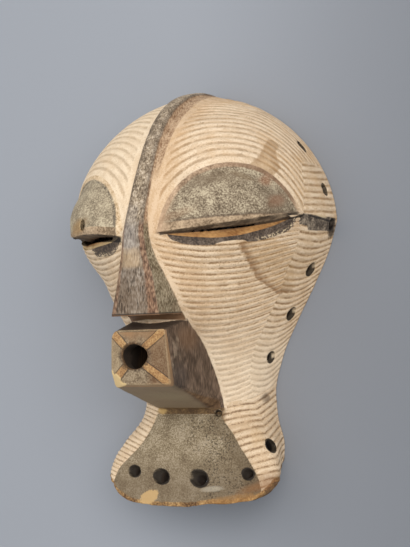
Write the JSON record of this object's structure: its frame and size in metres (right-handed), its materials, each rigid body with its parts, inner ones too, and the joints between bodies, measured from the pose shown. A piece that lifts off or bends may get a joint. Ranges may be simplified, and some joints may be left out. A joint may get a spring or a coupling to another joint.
{
  "type": "carved face mask",
  "caption": "Hollow carved wooden face mask with a striped domed face, thin crest and nose, heavy lidded slit eyes, a protruding square mouth with a round bore and a flared pierced collar.",
  "frame": {"origin": "centre of the bounding box's bottom face: the mask lies on its back rim with its face up", "axes": "+X across the face to the viewer's right, +Y from the collar up to the crown, +Z out of the face"},
  "size_m": [0.2328, 0.3656, 0.152],
  "materials": {
    "carved_wood": "matt, striped with pale pigment, worn dark on lids, nose, mouth and collar"
  },
  "bodies": {
    "root": {"mask": "carved_wood"}
  },
  "joints": []
}
